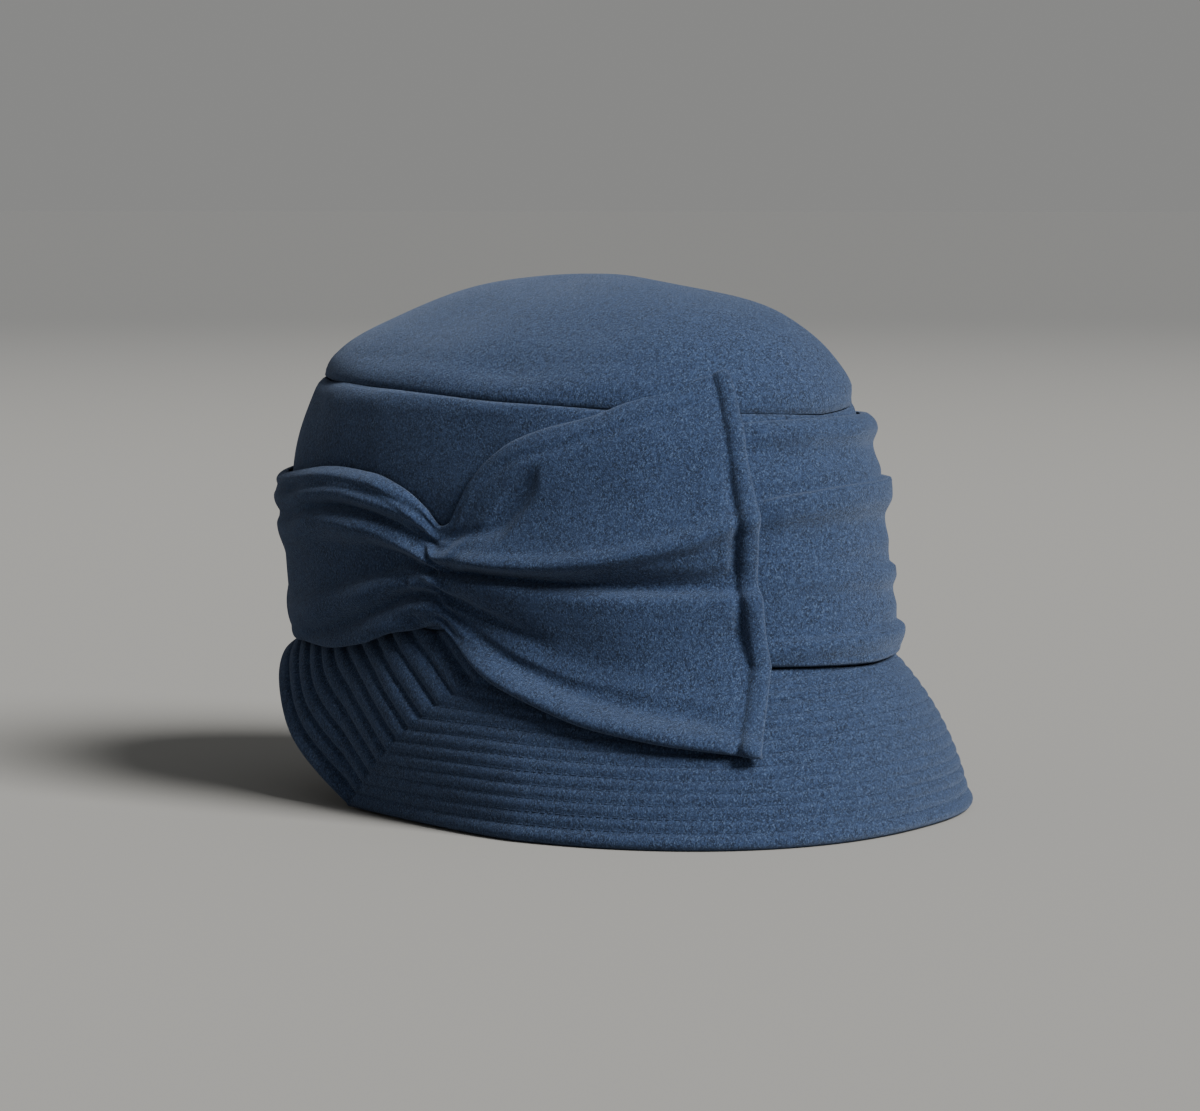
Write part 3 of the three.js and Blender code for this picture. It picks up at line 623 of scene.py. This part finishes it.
# Folds: along each one, the turn, the height of its edge as a share of the crown, how far it stands
# up, and how far it reaches above and below its edge, in mm. lean carries its crest up or down, and
# shape is 0.5 for a full roll and 1 for a soft swell. From the turns in flap on, a fold becomes the
# edge of a flat flap, with its own lean.
folds = dict(
    firstTuck=dict(lean=0.8, shape=0.6, path=[
        (-28, 0.62, 0.3, 2, 26), (-24, 0.62, 1.0, 2, 26), (-18, 0.62, 3.8, 2.2, 26),
        (60, 0.612, 4.2, 2.2, 24), (150, 0.49, 2.6, 3, 12), (205, 0.45, 3.6, 4.5, 6.5),
        (221, 0.462, 4.6, 4.5, 5.5), (240, 0.484, 4.8, 4.5, 4.5), (252, 0.474, 4.6, 4.5, 4.5),
        (261, 0.44, 3.8, 4, 4.5), (269, 0.385, 1.6, 3, 3), (274, 0.37, 0, 3, 3),
    ]),
    secondTuck=dict(lean=1.0, shape=0.6, path=[
        (-28, 0.41, 0.3, 2.2, 20), (-24, 0.415, 1.2, 2.2, 20), (-18, 0.425, 4.0, 2.4, 22),
        (0, 0.44, 4.6, 2.4, 25), (40, 0.44, 4.4, 2.4, 25), (90, 0.42, 3.2, 3, 20),
        (150, 0.4, 2.4, 4, 14), (205, 0.39, 3.4, 4.5, 8), (221, 0.4, 4.6, 4.5, 7),
        (234, 0.428, 5.0, 4.5, 5), (243, 0.436, 5.0, 4.5, 4.5), (252, 0.422, 4.8, 4.5, 4.5),
        (262, 0.388, 3.8, 4, 4.5), (270, 0.338, 1.2, 3, 3), (275, 0.325, 0, 3, 3),
    ]),
    thirdTuck=dict(lean=0.6, shape=0.6, flap=(271, 283), flapLean=-1.0, path=[
        (-28, 0.27, 0.2, 3, 16), (-20, 0.265, 0.7, 3, 17), (-8, 0.24, 1.6, 3, 20),
        (10, 0.215, 2.4, 2.8, 20), (40, 0.22, 2.6, 2.8, 20), (90, 0.25, 2.2, 3, 16),
        (150, 0.28, 2.0, 4, 14), (205, 0.31, 2.8, 5.5, 11), (221, 0.322, 4.6, 6, 9),
        (232, 0.352, 6.0, 6, 9), (240, 0.36, 6.6, 6, 9), (250, 0.352, 6.4, 5.5, 7.5),
        (258, 0.33, 5.8, 5, 6.5), (264, 0.302, 5.2, 5, 6), (268, 0.284, 5.2, 5, 6),
        (273, 0.283, 5.6, 7, 6), (279, 0.286, 6.2, 11, 6.5), (286, 0.282, 6.8, 16, 7.5),
        (295, 0.281, 7.2, 20, 9), (309, 0.299, 7.4, 23, 12), (322, 0.336, 7.4, 25, 17),
        (331, 0.378, 6.8, 25, 22), (336, 0.395, 6.0, 25, 24),
    ]),
    firstHollow=dict(lean=0.0, shape=1.0, path=[
        (-28, 0.54, 0, 6, 9), (-22, 0.54, -2.8, 6, 9), (20, 0.535, -3.2, 6, 9),
        (60, 0.53, -3.0, 6, 9), (110, 0.45, -1.2, 7, 8), (150, 0.4, 0, 6, 6),
    ]),
    secondHollow=dict(lean=0.0, shape=1.0, path=[
        (-28, 0.33, 0, 7, 9), (-22, 0.335, -2.4, 7, 9), (0, 0.35, -2.8, 7, 9),
        (40, 0.35, -2.8, 7, 9), (90, 0.335, -1.6, 7, 8), (140, 0.33, 0, 6, 6),
    ]),
    thirdHollow=dict(lean=0.0, shape=1.0, path=[
        (-28, 0.19, 0, 5, 7), (-10, 0.175, -1.2, 5, 7), (10, 0.16, -1.8, 5, 7),
        (40, 0.16, -1.8, 5, 7), (90, 0.19, -1.2, 6, 7), (140, 0.2, 0, 6, 6),
    ]),
    pleatCrest=dict(lean=0.0, shape=0.5, path=[
        (272, 0.283, 0, 3, 3), (279, 0.286, 1.2, 3.5, 3.5), (286, 0.282, 1.7, 4, 4),
        (295, 0.281, 1.9, 4.5, 4.5), (309, 0.299, 2.0, 4.5, 4.5), (322, 0.336, 2.0, 4.5, 4.5),
        (331, 0.378, 1.8, 4.5, 4.5), (336, 0.395, 1.4, 4.5, 4.5),
    ]),
    fanValley=dict(lean=0.0, shape=0.8, path=[
        (268, 0.245, 0, 4, 2), (276, 0.24, -1.4, 5, 1.6), (290, 0.232, -2.2, 6, 1.6),
        (306, 0.22, -2.8, 8, 1.6), (318, 0.212, -3.0, 9, 1.6), (330, 0.215, -2.6, 8, 1.6),
        (336, 0.218, -1.8, 7, 1.8),
    ]),
    lowerPleat=dict(lean=0.6, shape=0.65, path=[
        (262, 0.215, 1.4, 3, 4), (269, 0.222, 3.8, 2.8, 6), (276, 0.218, 4.6, 3, 9),
        (288, 0.206, 5.0, 4, 15), (300, 0.188, 5.2, 4.6, 22), (312, 0.178, 5.2, 5, 26),
        (324, 0.174, 5.0, 5, 28), (336, 0.178, 4.2, 5, 28),
    ]),
    frontRoll=dict(lean=0.4, shape=0.5, path=[
        (-28, 0.045, 0.8, 3.5, 5.5), (-23, 0.045, 1.8, 3.5, 5.5), (-17, 0.05, 2.8, 3.5, 5.8),
        (0, 0.05, 3.2, 3.5, 5.8), (40, 0.05, 3.2, 3.5, 5.8), (90, 0.1, 2.6, 4, 8),
        (150, 0.12, 2.4, 5, 9), (195, 0.11, 2.0, 7, 8), (207, 0.052, 3.0, 8, 6.5),
        (221, 0.09, 4.6, 8, 6), (232, 0.122, 5.4, 7.5, 6), (243, 0.156, 5.6, 6.5, 5.5),
        (252, 0.19, 5.2, 5.5, 5.5), (261, 0.217, 4.4, 5, 5), (267, 0.226, 2.4, 4, 4),
        (272, 0.23, 0, 3, 3),
    ]),
    napeFold=dict(lean=0.0, shape=0.5, path=[
        (150, 0.05, 0, 5, 7), (190, 0.03, 1.4, 5, 7), (207, 0.004, 2.8, 6, 5),
        (221, 0.012, 4.0, 6, 5), (233, 0.028, 5.0, 6, 5.5), (244, 0.06, 5.4, 6, 5.5),
        (256, 0.112, 5.0, 5.5, 6), (263, 0.145, 4.0, 4.5, 6), (270, 0.15, 1.8, 4, 5),
        (275, 0.14, 0, 4, 4),
    ]),
    napeHollow=dict(lean=0.0, shape=1.0, path=[
        (205, 0.2, 0, 12, 9), (218, 0.22, -1.4, 11, 9), (232, 0.24, -2.4, 9, 8),
        (244, 0.255, -2.6, 7, 7), (254, 0.265, -2.2, 5, 5), (260, 0.272, -1.2, 3, 4),
        (264, 0.26, 0, 2.5, 4),
    ]),
    panelDent=dict(lean=0.0, shape=0.9, path=[
        (282, 0.345, 0, 4, 4), (286, 0.38, -2.8, 5, 5.5), (289, 0.418, -5.0, 5.5, 6.5),
        (292, 0.455, -4.4, 5.5, 6.5), (296.5, 0.505, 0, 5, 6),
    ]),
    waistCrease=dict(lean=0.0, shape=0.8, path=[
        (268, 0.325, 0, 2.5, 2.5), (274, 0.335, -1.6, 3, 2.5), (281, 0.352, -1.6, 3, 3),
        (288, 0.37, 0, 3, 3),
    ]),
    lowerCrease=dict(lean=0.0, shape=0.9, path=[
        (266, 0.18, 0, 3, 3), (272, 0.165, -2.2, 3, 3), (280, 0.135, -2.2, 3.5, 3.5),
        (288, 0.1, -1.4, 5, 4), (298, 0.06, 0, 6, 5),
    ]),
    pocket=dict(lean=0.0, shape=0.8, path=[
        (322, 0.03, 0, 10, 6), (327, 0.045, -1.2, 12, 7), (331, 0.06, -3.0, 13, 9),
        (333, 0.06, 0, 12, 8),
    ]),
    topEdgeGroove=dict(lean=0.0, shape=0.7, path=[
        (276, 0.375, 0, 1.5, 1.5), (279, 0.41, -0.4, 2.5, 2.5), (284, 0.485, -0.6, 2.5, 2.5),
        (290, 0.538, -0.8, 2.5, 2.5), (300, 0.573, -0.8, 2.5, 2.5), (313, 0.622, -0.8, 2.5, 2.5),
        (327, 0.67, -0.6, 2.5, 2.5), (336, 0.69, -0.5, 2.5, 2.5),
    ]),
    bottomCrease=dict(lean=0.0, shape=0.8, path=[
        (268, 0.15, 0, 2, 1.6), (278, 0.078, -1.4, 3, 1.8), (290, -0.004, -2.2, 4.5, 2),
        (306, -0.08, -2.6, 6, 2), (320, -0.12, -2.6, 7, 2), (330, -0.145, -1.8, 6, 2),
        (336, -0.155, -0.8, 5, 2),
    ]),
    bottomRoll=dict(lean=0.0, shape=0.5, path=[
        (262, 0.125, 0.6, 5, 4), (270, 0.098, 2.4, 4.5, 4.5), (278, 0.03, 3.6, 4.5, 4.5),
        (290, -0.05, 4.2, 4.5, 4.5), (306, -0.127, 4.4, 4.5, 4.5), (320, -0.167, 4.2, 4.5, 4.5),
        (336, -0.202, 3.4, 4.5, 4.5),
    ]),
)

gathers = dict(turn=267.5, reach=11.0, height=0.9, count=7.0, phase=0.8)

stripTop = curveThrough(strip["top"])
stripBase = curveThrough(strip["base"])
fanBottom = curveThrough(strip["fanBottom"])
for fold in folds.values():
    columns = list(zip(*fold["path"]))
    fold["level"], fold["height"], fold["above"], fold["below"] = (
        curveThrough(list(zip(columns[0], columns[k]))) for k in (1, 2, 3, 4)
    )


# The seam round the crown, and the fan's own lower edge from the waist on
def stripBottomLevel(turn):
    seam = seamLevel(-turn) + crownPanels["gap"]
    fan = levelAt(fanBottom(turn))
    return seam + (fan - seam) * smoothStep(256, 270, turn)


# How far one fold stands up at each place, and how far it carries the cloth up or down
def foldShape(fold, turn, level):
    line = levelAt(fold["level"](turn))
    ahead, behind = levelAt(fold["level"](turn + 0.5)), levelAt(fold["level"](turn - 0.5))
    slope = (ahead - behind) / strip["crownDegree"]
    away = (level - line) / np.sqrt(1 + slope ** 2)
    reach = np.clip(np.where(away > 0, away / fold["above"](turn), -away / fold["below"](turn)), 0, 1)
    hump = (0.5 + 0.5 * np.cos(math.pi * reach)) ** fold["shape"]
    lean = fold["lean"] * smoothStep(205, 150, turn)
    if "flap" in fold:
        flat = smoothStep(*fold["flap"], turn)
        pleat = 1 - np.sqrt(reach ** 2 + 0.006) + 0.077
        pleat = np.where(away > 0, np.clip(pleat, 0, 1) ** 1.8, pleat)
        hump = hump + (np.clip(pleat, 0, 1) - hump) * flat
        lean = lean + (fold["flapLean"] - lean) * flat
    ends = (turn >= fold["path"][0][0]) & (turn <= fold["path"][-1][0])
    rise = fold["height"](turn) * hump * ends
    return rise, lean * hump * np.clip(rise / 3, 0, 1)


# Where the strip rests. The fan bridges the hollow between the crown and the brim.
def restingPoint(turn, angle, level):
    reach = strip["bridge"] * smoothStep(258, 284, turn)
    steps = np.linspace(-1, 1, 7)
    return sum(hatPoint(angle, level + reach * step) for step in steps) / len(steps)


def edgeRounding(distance, radius):
    near = np.clip(1 - distance / radius, 0, 1)
    return radius * (1 - np.sqrt(np.clip(1 - near ** 2, 0, 1)))


# Even rows, with closer ones near both edges so that they can be rounded
def acrossShares(rows, length):
    fine = np.array([0, 0.12, 0.3, 0.55, 0.9, 1.3]) / length
    even = np.linspace(1.9 / length, 1 - 1.9 / length, rows - 2 * len(fine))
    return np.concatenate([fine, even, 1 - fine[::-1]])


# Height of the strip's outer face over the hat, and how far the folds carry it up
def stripHeight(turn, level, share):
    height, moved = stripBase(turn), np.zeros_like(level)
    for fold in folds.values():
        rise, lean = foldShape(fold, turn, level)
        height, moved = height + rise, moved + lean
    near = np.exp(-((turn - gathers["turn"]) / gathers["reach"]) ** 2)
    wave = np.sin(2 * math.pi * gathers["count"] * share + gathers["phase"])
    height = height + gathers["height"] * near * wave
    return height, moved


# The half-round hem that stands up along the strip's end, and the groove behind it
def hemShape(fromHem):
    half = strip["hemWidth"] / 2
    roll = np.sqrt(np.clip(1 - ((fromHem - half) / half) ** 2, 0, 1))
    groove = np.exp(-((fromHem - strip["hemWidth"] - 1.0) / 1.9) ** 2)
    return strip["hemRise"] * roll, strip["hemGroove"] * groove


# The greater of a and b, with a soft turn from one to the other
def softMost(a, b, width=0.7):
    return b + width * np.logaddexp(0, (a - b) / width)


# Outer and inner face of the strip, section by section along it, each from its lower edge up
def stripSurface(turns, rows):
    turnGrid, shareGrid = np.meshgrid(turns, acrossShares(rows, 90.0), indexing="ij")
    low, high = stripBottomLevel(turnGrid), levelAt(stripTop(turnGrid))
    levels = low + (high - low) * shareGrid
    height, moved = stripHeight(turnGrid, levels, shareGrid)
    angle, seam = -turnGrid, seamLevel(turnGrid)
    below = np.clip((seam - levels) / levelAt(strip["fanBottom"][-1][1]), 0, 1)
    way = np.clip((turnGrid - strip["waist"]) / (strip["hem"] - strip["waist"]), 0, 1)
    angle = angle + strip["hemSlant"] * below * way
    base, outward = restingPoint(turnGrid, angle, levels + moved), crownOutward(angle, levels + moved)
    fromHem = (strip["hem"] - turnGrid) * strip["degree"]
    roll, groove = hemShape(fromHem)
    wave = strip["wave"] * softNoise(base, strip["waveSize"], 11)
    height = height + wave - groove
    least, fromTop = strip["cloth"] + strip["clear"], (high - low) * (1 - shareGrid)
    turnedIn = 1 - strip["topTurn"] * np.clip(1 - fromTop / strip["topTurnWidth"], 0, 1) ** 2
    height = softMost(least + (height - least) * turnedIn, least)
    beneath, _ = stripHeight(turnGrid - 360, levels + moved, shareGrid)
    beneath = beneath + wave + least
    lapped = smoothStep(strip["start"] + 352, strip["start"] + 359, turnGrid)
    height = height + (softMost(height, beneath) - height) * lapped
    fromEdge = np.minimum(shareGrid, 1 - shareGrid) * (high - low)
    rounding = edgeRounding(fromEdge, strip["edgeRadius"])
    rounding = np.maximum(rounding, edgeRounding(fromHem, strip["edgeRadius"]))
    inner = height - strip["cloth"]
    outer = np.maximum(height + roll - rounding, inner + strip["endEdge"])
    return base + outward * outer[..., None], base + outward * inner[..., None]


def stripPiece(name, start, end):
    turns = np.linspace(start, end, int(round((end - start) / strip["columnStep"])))
    if end == strip["hem"]:
        hem = end - np.linspace(12.0, 2.0, 25) / strip["degree"]
        close = end - np.array([1.6, 1.2, 0.85, 0.55, 0.3, 0.1, 0.0]) / strip["degree"]
        turns = np.concatenate([turns[turns < hem[0] - 0.3], hem, close])
    outer, inner = stripSurface(turns, strip["rows"])
    return clothPiece(name, outer, inner, everyFew(strip["rows"], 3), False), outer


wrapPiece, wrapFace = stripPiece("tuckedWrapCloth", strip["start"], strip["waist"])
fanPiece, fanFace = stripPiece("pleatedFanCloth", strip["waist"], strip["hem"])
finishPiece(wrapPiece, wrapWool, "wrap_cloth", "tucked_wrap")
finishPiece(fanPiece, wrapWool, "wrap_cloth", "pleated_fan")
print("strip made", len(wrapPiece.data.polygons), len(fanPiece.data.polygons))

# Stitches along the brim's rows, and the wool's nap
stitching = dict(pitch=3.1, length=2.2, thread=0.55, sides=6, rings=4)
nap = dict(
    length=2.0, thickness=0.09, lean=1.1,      # mm, and radians to each side
    seed=7, crownFibres=34000, brimFibres=26000,
)


# A modifier tree whose inputs are (name, kind, value) rows, with its group nodes
def geometryTree(name, sockets):
    tree = bpy.data.node_groups.new(name, "GeometryNodeTree")
    tree.interface.new_socket(name="Geometry", in_out="INPUT", socket_type="NodeSocketGeometry")
    for socketName, kind, value in sockets:
        newInput(tree, socketName, kind, value)
    tree.interface.new_socket(name="Geometry", in_out="OUTPUT", socket_type="NodeSocketGeometry")
    return tree, tree.nodes.new("NodeGroupInput"), tree.nodes.new("NodeGroupOutput")


def realizedWith(tree, geometry, inputs, outputs):
    realize = tree.nodes.new("GeometryNodeRealizeInstances")
    material = tree.nodes.new("GeometryNodeSetMaterial")
    tree.links.new(geometry, realize.inputs["Geometry"])
    tree.links.new(realize.outputs["Geometry"], material.inputs["Geometry"])
    tree.links.new(inputs.outputs["Material"], material.inputs["Material"])
    tree.links.new(material.outputs["Geometry"], outputs.inputs["Geometry"])


def stitchTree():
    tree, inputs, outputs = geometryTree("rowsOfStitches", [
        ("Pitch", "NodeSocketFloat", stitching["pitch"] * mm),
        ("Length", "NodeSocketFloat", stitching["length"] * mm),
        ("Thread", "NodeSocketFloat", stitching["thread"] * mm),
        ("Material", "NodeSocketMaterial", None),
    ])
    nodes, links = tree.nodes, tree.links
    curve, points = nodes.new("GeometryNodeMeshToCurve"), nodes.new("GeometryNodeCurveToPoints")
    points.mode = "LENGTH"
    links.new(inputs.outputs["Geometry"], curve.inputs["Mesh"])
    links.new(curve.outputs["Curve"], points.inputs["Curve"])
    links.new(inputs.outputs["Pitch"], points.inputs["Length"])
    stitch = nodes.new("GeometryNodeMeshUVSphere")
    stitch.inputs["Segments"].default_value = stitching["sides"]
    stitch.inputs["Rings"].default_value = stitching["rings"]
    stitch.inputs["Radius"].default_value = 0.5
    size = nodes.new("ShaderNodeCombineXYZ")
    for axis, name in (("X", "Thread"), ("Y", "Thread"), ("Z", "Length")):
        links.new(inputs.outputs[name], size.inputs[axis])
    turn = nodes.new("FunctionNodeAlignRotationToVector")
    turn.axis = "Z"
    links.new(points.outputs["Tangent"], turn.inputs["Vector"])
    place = nodes.new("GeometryNodeInstanceOnPoints")
    links.new(points.outputs["Points"], place.inputs["Points"])
    links.new(stitch.outputs["Mesh"], place.inputs["Instance"])
    links.new(turn.outputs["Rotation"], place.inputs["Rotation"])
    links.new(size.outputs["Vector"], place.inputs["Scale"])
    realizedWith(tree, place.outputs["Instances"], inputs, outputs)
    return tree


def napTree():
    tree, inputs, outputs = geometryTree("woolNap", [
        ("Density", "NodeSocketFloat", 1.0),
        ("Length", "NodeSocketFloat", nap["length"] * mm),
        ("Thickness", "NodeSocketFloat", nap["thickness"] * mm),
        ("Lean", "NodeSocketFloat", nap["lean"]),
        ("Seed", "NodeSocketInt", nap["seed"]),
        ("Material", "NodeSocketMaterial", None),
    ])
    nodes, links = tree.nodes, tree.links
    scatter = nodes.new("GeometryNodeDistributePointsOnFaces")
    links.new(inputs.outputs["Geometry"], scatter.inputs["Mesh"])
    links.new(inputs.outputs["Density"], scatter.inputs["Density"])
    links.new(inputs.outputs["Seed"], scatter.inputs["Seed"])
    fibre = nodes.new("GeometryNodeMeshCone")
    fibre.fill_type = "NONE"
    for name, value in (("Vertices", 3), ("Radius Top", 0.0), ("Radius Bottom", 0.5), ("Depth", 1.0)):
        fibre.inputs[name].default_value = value
    size = nodes.new("ShaderNodeCombineXYZ")
    for axis, name in (("X", "Thickness"), ("Y", "Thickness"), ("Z", "Length")):
        links.new(inputs.outputs[name], size.inputs[axis])
    spread = nodes.new("FunctionNodeRandomValue")
    spread.data_type = "FLOAT_VECTOR"
    links.new(inputs.outputs["Seed"], spread.inputs["Seed"])
    low, high = nodes.new("ShaderNodeCombineXYZ"), nodes.new("ShaderNodeCombineXYZ")
    minus = nodes.new("ShaderNodeMath")
    minus.operation = "MULTIPLY"
    minus.inputs[1].default_value = -1.0
    links.new(inputs.outputs["Lean"], minus.inputs[0])
    for axis in "XY":
        links.new(minus.outputs[0], low.inputs[axis])
        links.new(inputs.outputs["Lean"], high.inputs[axis])
    links.new(low.outputs["Vector"], spread.inputs["Min"])
    links.new(high.outputs["Vector"], spread.inputs["Max"])
    place = nodes.new("GeometryNodeInstanceOnPoints")
    links.new(scatter.outputs["Points"], place.inputs["Points"])
    links.new(fibre.outputs["Mesh"], place.inputs["Instance"])
    links.new(scatter.outputs["Rotation"], place.inputs["Rotation"])
    links.new(size.outputs["Vector"], place.inputs["Scale"])
    tilt = nodes.new("GeometryNodeRotateInstances")
    links.new(place.outputs["Instances"], tilt.inputs["Instances"])
    links.new(spread.outputs["Value"], tilt.inputs["Rotation"])
    realizedWith(tree, tilt.outputs["Instances"], inputs, outputs)
    return tree


# Runs a tree on source with the named values, and keeps only the mesh that it makes
def grownPiece(name, source, tree, values):
    modifier = source.modifiers.new("grow", "NODES")
    modifier.node_group = tree
    for socket in tree.interface.items_tree:
        if socket.item_type == "SOCKET" and socket.in_out == "INPUT" and socket.name in values:
            modifier[socket.identifier] = values[socket.name]
    view = bpy.context.evaluated_depsgraph_get()
    mesh = bpy.data.meshes.new_from_object(source.evaluated_get(view), depsgraph=view)
    source.modifiers.remove(modifier)
    bpy.data.objects.remove(source)
    mesh.name = name
    piece = bpy.data.objects.new(name, mesh)
    bpy.context.scene.collection.objects.link(piece)
    return piece


def scratchMesh(name, points, edges, faces):
    mesh = bpy.data.meshes.new(name)
    placed = np.array(points, float).reshape(-1, 3)
    placed[:, 1] += hatShift
    mesh.from_pydata((placed * mm).tolist(), edges, faces)
    source = bpy.data.objects.new(name, mesh)
    bpy.context.scene.collection.objects.link(source)
    return source


def sewBrim():
    points, edges = [], []
    for line in stitchRows:
        first = len(points)
        points.extend(line.tolist())
        edges.extend((k, k + 1) for k in range(first, first + len(line) - 1))
    source = scratchMesh("stitchLines", points, edges, [])
    return grownPiece("brimStitches", source, stitchTree(), {"Material": threadCloth})


# Short fibres over the faces, each a grid of points
def growNap(name, faces, fibres, seed):
    points, quads, area = [], [], 0.0
    for grid in map(outwardGrid, faces):
        first = len(points)
        sections, rows = grid.shape[:2]
        points.extend(grid.reshape(-1, 3).tolist())
        corners = gridQuads(sections, rows, False, False)
        a, b, c, d = (grid.reshape(-1, 3)[corners[:, k]] for k in range(4))
        area += np.linalg.norm(np.cross(c - a, d - b), axis=-1).sum() / 2
        quads.extend((corners + first).tolist())
    source = scratchMesh(name + "Ground", points, [], quads)
    density = fibres / (area * mm * mm)
    return grownPiece(name, source, napTree(), {"Density": density, "Seed": seed, "Material": napWool})


# The grid with its faces turned away from the middle of the hat
def outwardGrid(grid):
    middle = grid.reshape(-1, 3).mean(0)
    around, rise = grid[1:, :-1] - grid[:-1, :-1], grid[:-1, 1:] - grid[:-1, :-1]
    away = (np.cross(around, rise) * (grid[:-1, :-1] - middle)).sum()
    return grid if away > 0 else grid[::-1]


stitches = sewBrim()
finishPiece(stitches, threadCloth, "brim_cloth")
napWool = napMaterial()
crownNap = growNap("crownNap", [wrapFace, fanFace, crownTopFace], nap["crownFibres"], nap["seed"])
brimNap = growNap("brimNap", [brimTopFace], nap["brimFibres"], nap["seed"] + 1)
finishPiece(crownNap, napWool, "wrap_cloth")
finishPiece(brimNap, napWool, "brim_cloth")
print("stitches and nap made", *(len(grown.data.polygons) for grown in (stitches, crownNap, brimNap)))

# Floor, light and camera
stageSet = dict(
    # The floor's far tone and its fade distances paint a fall-off of light across the floor.
    floorTone=(0.27, 0.268, 0.26), paintedFalloffTone=(0.158, 0.16, 0.1595),
    paintedFalloff=(0.9, 7.0), floorSize=400.0,          # metres
    worldTone=(0.6, 0.6, 0.588), worldStrength=0.43,
    sunWay=(0.1, 0.78, -0.62), sunStrength=6.9, sunSpread=26.0, sunTone=(1.0, 0.985, 0.955),
)


# The floor's colour runs from floorTone near the hat to a darker tone 7 m out: a painted fall-off of light
# that blends the floor into the backdrop.
def makeFloor():
    bpy.ops.mesh.primitive_plane_add(size=stageSet["floorSize"], location=(0, 0, 0))
    floor = bpy.context.object
    floor.name = "studioFloor"
    material = bpy.data.materials.new("paleFloor")
    material.use_nodes = True
    shader = material.node_tree.nodes["Principled BSDF"]
    shader.inputs["Roughness"].default_value = 0.95
    shader.inputs["Specular IOR Level"].default_value = 0.1
    nodes, links = material.node_tree.nodes, material.node_tree.links
    place, distance = nodes.new("ShaderNodeTexCoord"), nodes.new("ShaderNodeVectorMath")
    distance.operation = "LENGTH"
    paintedFalloff, mix = nodes.new("ShaderNodeMapRange"), nodes.new("ShaderNodeMix")
    paintedFalloff.interpolation_type = "SMOOTHSTEP"
    paintedFalloff.inputs["From Min"].default_value, paintedFalloff.inputs["From Max"].default_value = stageSet["paintedFalloff"]
    mix.data_type = "RGBA"
    mix.inputs["A"].default_value = (*stageSet["floorTone"], 1)
    mix.inputs["B"].default_value = (*stageSet["paintedFalloffTone"], 1)
    links.new(place.outputs["Object"], distance.inputs[0])
    links.new(distance.outputs["Value"], paintedFalloff.inputs["Value"])
    links.new(paintedFalloff.outputs["Result"], mix.inputs["Factor"])
    links.new(mix.outputs["Result"], shader.inputs["Base Color"])
    floor.data.materials.append(material)


def makeSun():
    lamp = bpy.data.lights.new("keySun", "SUN")
    lamp.energy = stageSet["sunStrength"]
    lamp.angle = math.radians(stageSet["sunSpread"])
    lamp.color = stageSet["sunTone"]
    holder = bpy.data.objects.new("keySun", lamp)
    holder.rotation_euler = Vector(stageSet["sunWay"]).to_track_quat("-Z", "Y").to_euler()
    holder.location = (0, -1, 1.5)
    bpy.context.scene.collection.objects.link(holder)


def makeWorld():
    world = bpy.data.worlds.new("studio")
    world.use_nodes = True
    background = world.node_tree.nodes["Background"]
    background.inputs["Color"].default_value = (*stageSet["worldTone"], 1)
    background.inputs["Strength"].default_value = stageSet["worldStrength"]
    bpy.context.scene.world = world


view = dict(
    azimuth=56.49, elevation=5.0, aim=(0.0, 4.0, 92.0), distance=1.5,
    pixelsPerMm=2.65, imageWidth=1200, sensor=36.0,
)


def makeCamera():
    camera = bpy.data.cameras.new("photoCamera")
    camera.sensor_width = view["sensor"]
    camera.lens = view["pixelsPerMm"] * view["distance"] / mm / view["imageWidth"] * view["sensor"]
    holder = bpy.data.objects.new("photoCamera", camera)
    around, up = math.radians(view["azimuth"]), math.radians(view["elevation"])
    aim = Vector(view["aim"]) * mm
    away = Vector((-math.sin(around) * math.cos(up), -math.cos(around) * math.cos(up), math.sin(up)))
    holder.location = aim + away * view["distance"]
    holder.rotation_euler = (-away).to_track_quat("-Z", "Y").to_euler()
    bpy.context.scene.collection.objects.link(holder)
    bpy.context.scene.camera = holder


makeFloor()
makeWorld()
makeSun()
makeCamera()
